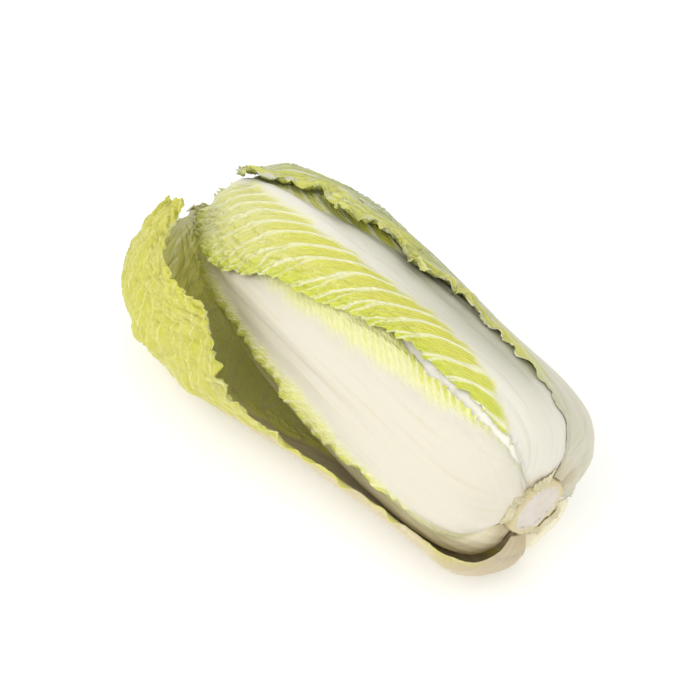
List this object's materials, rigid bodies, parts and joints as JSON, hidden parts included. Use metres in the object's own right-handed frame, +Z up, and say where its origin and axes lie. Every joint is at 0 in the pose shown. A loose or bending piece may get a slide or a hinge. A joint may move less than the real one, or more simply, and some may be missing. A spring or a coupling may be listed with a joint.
{
  "type": "napa cabbage",
  "caption": "Whole napa cabbage lying on its side: a long head of wrapped leaves with thick white ribs round a cut stem, and one loose cupped outer leaf.",
  "frame": {"origin": "centre of the bottom of the bounding box, on the surface the head lies on", "axes": "+X along the head's axis towards the cut stem, +Z up, and the loose outer leaf on the -Y side"},
  "size_m": [0.3458, 0.1736, 0.1326],
  "materials": {
    "stem_flesh": "matte, moist cut stem, off-white, with a tan rim",
    "stub_flesh": "matte, cream, drying to tan at its torn edge",
    "heart_leaf": "satin, pale yellow blade with a white rib",
    "inner_leaf": "satin, pale yellow-green blade with a white rib",
    "outer_leaf": "satin, yellow-green blade with white veins and a thick cream rib",
    "right_leaf": "satin, green blade with grey-white veins and a ribbed grey-green base",
    "loose_leaf": "satin, yellow-green blade, olive inside, with pale pinkish veins"
  },
  "bodies": {
    "root": {"cut_stem": "stem_flesh", "front_leaf": "outer_leaf", "heart_leaf_1": "heart_leaf", "heart_leaf_2": "heart_leaf", "heart_leaf_3": "heart_leaf", "heart_leaf_4": "heart_leaf", "heart_leaf_5": "heart_leaf", "heart_leaf_6": "heart_leaf", "inner_leaf_1": "inner_leaf", "inner_leaf_2": "inner_leaf", "inner_leaf_3": "inner_leaf", "inner_leaf_4": "inner_leaf", "inner_leaf_5": "inner_leaf", "inner_leaf_6": "inner_leaf", "inner_leaf_7": "inner_leaf", "inner_leaf_8": "inner_leaf", "loose_outer_leaf": "loose_leaf", "lower_leaf": "outer_leaf", "right_leaf": "right_leaf", "stub_of_trimmed_leaf_1": "stub_flesh", "stub_of_trimmed_leaf_2": "stub_flesh", "stub_of_trimmed_leaf_3": "stub_flesh", "top_leaf": "outer_leaf", "under_leaf": "outer_leaf", "white_ribbed_leaf": "outer_leaf"}
  },
  "joints": []
}
